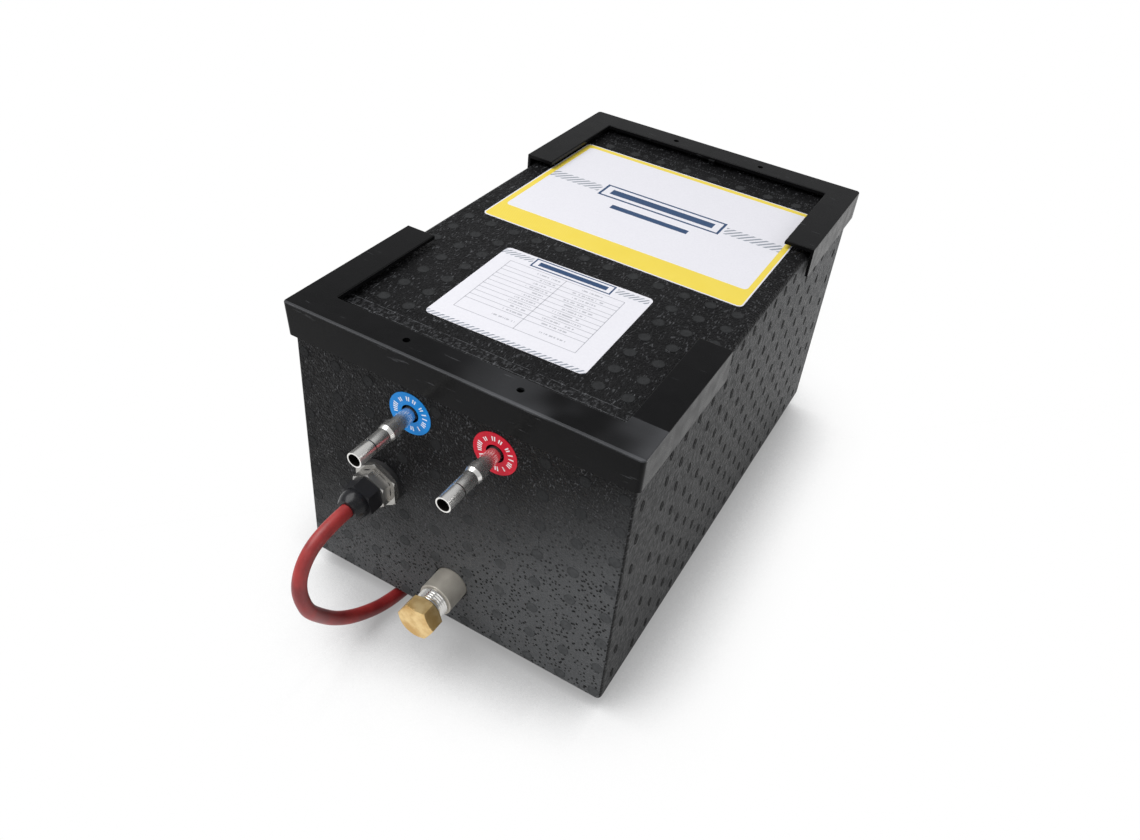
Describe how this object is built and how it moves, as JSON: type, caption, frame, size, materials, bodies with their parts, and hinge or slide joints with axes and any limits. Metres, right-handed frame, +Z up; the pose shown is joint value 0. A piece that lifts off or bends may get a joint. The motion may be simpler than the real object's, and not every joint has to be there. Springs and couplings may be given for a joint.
{
  "type": "caravan water heater",
  "caption": "Box-shaped electric caravan water heater in black foam housing with end caps, brackets, hose stubs, drain plug and mains lead.",
  "frame": {"origin": "under the middle of the housing, on the underside of its middle skid, on the surface it stands on", "axes": "+Z up, +Y from the pipe end towards the rear, +X to the right seen from the pipe end"},
  "size_m": [0.2514, 0.7668, 0.2248],
  "materials": {
    "foam": "black expanded bead foam, textured moulded skin",
    "bracket_plastic": "black satin moulded plastic",
    "label_paper": "printed film label",
    "blue_disc": "blue film disc",
    "red_disc": "red film disc",
    "tank_steel": "stainless sheet",
    "pipe_steel": "polished stainless tube",
    "socket_steel": "bead-blasted stainless",
    "chrome": "chromed thread",
    "brass": "cast and machined brass",
    "seal_rubber": "black rubber",
    "zinc_steel": "bright zinc-plated steel",
    "adaptor_steel": "nickel-plated",
    "gland_plastic": "black polyamide, polished dome",
    "washer_plastic": "natural slip washer",
    "element_steel": "alloy sheath",
    "thermostat_case": "dark phenolic can",
    "button_red": "red button",
    "cable_red": "satin red silicone sheath",
    "wire_brown": "brown core",
    "wire_blue": "blue core",
    "wire_green": "green and yellow core",
    "plug_rubber": "black moulded plug",
    "pin_brass": "nickel-plated pins"
  },
  "bodies": {
    "housing": {"foam_sleeve": "foam", "front_end_cap": "foam", "large_label": "label_paper", "small_label": "label_paper", "cold_disc": "blue_disc", "hot_disc": "red_disc", "tank_shell": "tank_steel", "tank_front_head": "tank_steel", "tank_rear_head": "tank_steel", "cold_inlet_tube": "pipe_steel", "hot_outlet_tube": "pipe_steel", "drain_socket": "socket_steel", "drain_nipple": "chrome", "conduit": "zinc_steel", "entry_gasket": "seal_rubber", "entry_locknut": "zinc_steel", "gland_adaptor": "adaptor_steel", "gland_seal": "seal_rubber", "element_gasket": "seal_rubber", "heating_element": "element_steel", "control_thermostat": "thermostat_case", "safety_cutout": "thermostat_case", "thermostat_clip": "zinc_steel", "clip_stud": "zinc_steel", "clip_nut": "zinc_steel", "earth_stud": "zinc_steel", "earth_nuts": "zinc_steel", "cable_inner": "cable_red", "wire_live": "wire_brown", "wire_neutral": "wire_blue", "wire_earth": "wire_green", "link_wire": "wire_brown", "element_wire": "wire_brown", "mains_cable": "cable_red", "cable_coil": "cable_red", "cable_tail": "cable_red", "plug_body": "plug_rubber", "plug_pins": "pin_brass"},
    "front_bracket": {"front_bracket": "bracket_plastic"},
    "rear_end_cap": {"rear_end_cap": "foam"},
    "rear_bracket": {"rear_bracket": "bracket_plastic"},
    "drain_seal": {"drain_seal": "seal_rubber"},
    "drain_cap": {"drain_cap": "brass"},
    "gland_washer": {"gland_washer": "washer_plastic"},
    "gland_nut": {"gland_nut": "gland_plastic"},
    "reset_button": {"reset_button": "button_red"}
  },
  "joints": [
    {"name": "front_bracket_lift", "type": "slide", "parent": "housing", "child": "front_bracket", "axis": [0, 0, 1], "range_m": [0, 0.04]},
    {"name": "rear_cap_pull", "type": "slide", "parent": "housing", "child": "rear_end_cap", "axis": [0, 1, 0], "range_m": [0, 0.06]},
    {"name": "rear_bracket_lift", "type": "slide", "parent": "rear_end_cap", "child": "rear_bracket", "axis": [0, 0, 1], "range_m": [0, 0.04]},
    {"name": "drain_cap_travel", "type": "slide", "parent": "housing", "child": "drain_seal", "axis": [0, -1, 0], "range_m": [0, 0.00907]},
    {"name": "drain_cap_turn", "type": "hinge", "parent": "drain_seal", "child": "drain_cap", "pos_m": [0.0003, -0.23, 0.05], "axis": [0, -1, 0], "range_deg": [0, 1800]},
    {"name": "gland_nut_travel", "type": "slide", "parent": "housing", "child": "gland_washer", "axis": [0, -1, 0], "range_m": [0, 0.006]},
    {"name": "gland_nut_turn", "type": "hinge", "parent": "gland_washer", "child": "gland_nut", "pos_m": [-0.055, -0.22, 0.113], "axis": [0, -1, 0], "range_deg": [0, 1440]},
    {"name": "reset_press", "type": "slide", "parent": "housing", "child": "reset_button", "axis": [0, 1, 0], "range_m": [0, 0.002], "stiffness_N_per_m": 300}
  ],
  "couplings": [
    {"joint": "drain_cap_travel", "follows": "drain_cap_turn", "m_per_rad": 0.0002887},
    {"joint": "gland_nut_travel", "follows": "gland_nut_turn", "m_per_rad": 0.0002387}
  ]
}
